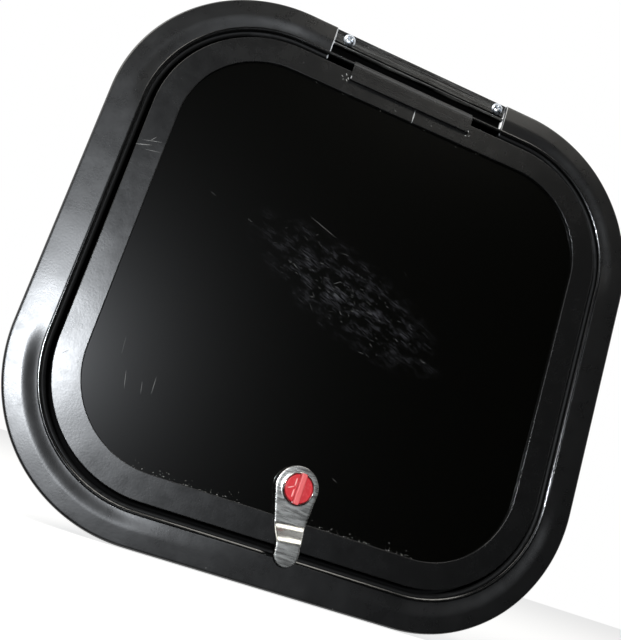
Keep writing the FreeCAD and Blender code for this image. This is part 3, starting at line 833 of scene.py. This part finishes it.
def buildRubMarks():
    # streaks scattered about the rubbed patch, nearly all along its lean
    count = rubMarks["count"]
    lean = -math.radians(rubPatch["lean"])
    spread = rng.normal(0, 1, (count, 2)) * np.array(rubMarks["spread"])
    turn = np.array([[math.cos(lean), math.sin(lean)], [-math.sin(lean), math.cos(lean)]])
    centre = spread @ turn + np.array(rubPatch["middleMm"])
    angle = lean + rng.normal(0, rubMarks["leanSpread"], count)
    length = rng.uniform(*rubMarks["length"], count) * rng.uniform(*rubMarks["lengthShare"], count)
    half = np.stack([np.cos(angle), np.sin(angle)], axis=-1) * length[:, None] / 2
    widths = rng.uniform(*rubMarks["width"], count)
    tones = rng.uniform(*rubMarks["tone"], count) ** rubMarks["tonePower"]
    slips("rubStreaks", centre - half, centre + half, widths, tones, panelFace - slip["lift"], scuffed, "door")


scratchMarks = {
    "panel": [
        (-110, -90, -112.5, -80, 0.22, 0.4), (-100.5, -90, -102, -83, 0.2, 0.35), (-95, -88, -95.5, -78, 0.22, 0.4),
        (-118, -72, -119, -62, 0.14, 0.15), (20, -100, 24, -101.5, 0.15, 0.2), (-41, 45, -22, 38.5, 0.25, 0.2),
    ],
    "ring": [
        (-153, 45, -144, 48, 0.4, 0.5), (-150, 49, -139, 52, 0.3, 0.4), (-147, 44, -137, 46, 0.25, 0.35),
        (-146, 50, -143, 54, 0.25, 0.4), (-149, -84, -145, -80, 0.2, 0.3), (-128, -122, -122, -119, 0.2, 0.3),
        (-51.6, 140.2, -50.4, 139.4, 0.5, 0.8), (-49.2, 142.6, -48.2, 141.2, 0.5, 0.9),
        (-48.0, 138.6, -47.0, 137.6, 0.6, 1.0), (-50.2, 137.6, -49.4, 138.4, 0.4, 0.6),
        (-47.2, 140.6, -46.6, 139.0, 0.5, 1.0), (38.2, 136.8, 39.4, 137.4, 0.6, 0.9),
        (40.6, 137.4, 41.8, 138.6, 0.4, 0.7), (-12, 133, -10.4, 132.4, 0.3, 0.4), (14, 133.6, 15.2, 133.2, 0.3, 0.5),
    ],
}


def buildScratches():
    listedSlips("panelScratches", scratchMarks["panel"], panelFace - slip["panelLift"], scuffed, "door")
    listedSlips("ringScratches", scratchMarks["ring"], doorFace - slip["lift"], scuffed, "door")


# bare metal: the ring's butt seam, the leaf's sawn corners and the sawn ends in the gap's mouth
bareMarks = {
    "seam": [(1.4, 129.6, 1.4, 138.6, 0.75, 1.0)],
    "leaf": [(-45.6, 139.1, -45.6, 141.6, 0.6, 1.0), (39.2, 139.0, 39.2, 140.4, 0.5, 1.0)],
    "sealEnd": [(-63.6, 151.6, -63.6, 148.0, 1.0, 1.0), (62.5, 151.2, 62.5, 149.0, 0.8, 1.0)],
}


def buildBareMarks():
    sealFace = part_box("lip_seal")[0].y / mm
    heights = {"seam": doorFace - slip["lift"], "leaf": leafFace - slip["lift"], "sealEnd": sealFace - slip["sealLift"]}
    for name, y in heights.items():
        body = "frame" if name == "sealEnd" else "door"
        listedSlips(name + "BareEdge", bareMarks[name], y, bareMetal, body)


buildRubMarks()
print("marks done")

# crumbs of dried sealant and chipped coat along the ring's inner edge: low domes of uneven size
crumbs = {
    "count": 150,
    "edgeIn": 41.3,
    "runs": [(-92, -28), (-8, 66), (66, 82), (-70, 78)],   # the last one along the top
    "shares": [0.42, 0.34, 0.16, 0.08],
    "driftTop": 0.8,
    "driftLow": 1.1,
    "size": (0.07, 0.26),
    "sizeShare": (0.4, 1),
    "uneven": (0.6, 1.3),
    "flat": 0.45,
    "tips": 4,
    "turns": 8,
}

# dried sealant: pale and chalky
sealant = newMaterial("driedSealantCrumbs", Base_Color=linear("#c4c3bd"), Roughness=0.8)[0]


def buildCrumbs():
    # dome point = middle + radius x (cos turn sin tip, -flat cos tip, sin turn sin tip)
    count, tips, turns = crumbs["count"], crumbs["tips"], crumbs["turns"]
    edge = flange["halfZ"] - crumbs["edgeIn"]
    group = rng.choice(len(crumbs["runs"]), count, p=crumbs["shares"])
    x = np.choose(group, [rng.uniform(*run, count) for run in crumbs["runs"]])
    top = edge - rng.exponential(crumbs["driftTop"], count)
    low = -edge + rng.exponential(crumbs["driftLow"], count)
    z = np.where(group == len(crumbs["runs"]) - 1, top, low)
    size = rng.uniform(*crumbs["size"], count) * rng.uniform(*crumbs["sizeShare"], count)
    tip = np.linspace(0, math.pi / 2, tips)
    turn = np.linspace(0, 2 * math.pi, turns, endpoint=False)
    uneven = rng.uniform(*crumbs["uneven"], (count, 1, turns))
    ring = np.sin(tip)[None, :, None] * uneven * size[:, None, None]
    rise = crumbs["flat"] * size[:, None, None] * np.cos(tip)[None, :, None]
    points = np.stack([
        x[:, None, None] + ring * np.cos(turn),
        np.broadcast_to(panelFace - rise, ring.shape),
        z[:, None, None] + ring * np.sin(turn),
    ], axis=-1)
    quads = gridQuads(tips, turns, True)[:, ::-1]
    faces = (quads[None] + (np.arange(count) * tips * turns)[:, None, None]).reshape(-1, 4)
    newPiece("sealantCrumbs", points, faces.tolist(), sealant, "door")


buildCrumbs()
buildScratches()
buildBareMarks()
print("crumbs, scratches and bare edges done")

# turn marks: three plain raised bars on the knob's left half, pale pink
turnMarks = {
    # start x, start z, end x, end z from the lock's axis, width
    "bars": [(-2.9, 1.0, -2.9, 5.4, 0.75), (-6.6, -1.2, -3.3, 0.5, 0.5), (-2.9, -5.4, -2.9, -1.2, 0.75)],
    "face": -12.4,
    "rise": 0.12,
    "blunt": 0.2,
}

# pale pink plastic for the raised marks
paleMarkRed = newMaterial("paleMarkRedPlastic", Base_Color=linear("#f0b3b0"), Roughness=0.4)[0]


def buildTurnMarks():
    rows = np.array(turnMarks["bars"])
    middle = np.array(pull["axis"])
    slips("turnMarks", rows[:, :2] + middle, rows[:, 2:4] + middle, rows[:, 4], np.ones(len(rows)),
          turnMarks["face"] - turnMarks["rise"], paleMarkRed, "latch", turnMarks["blunt"])


buildTurnMarks()
print("turn marks done")
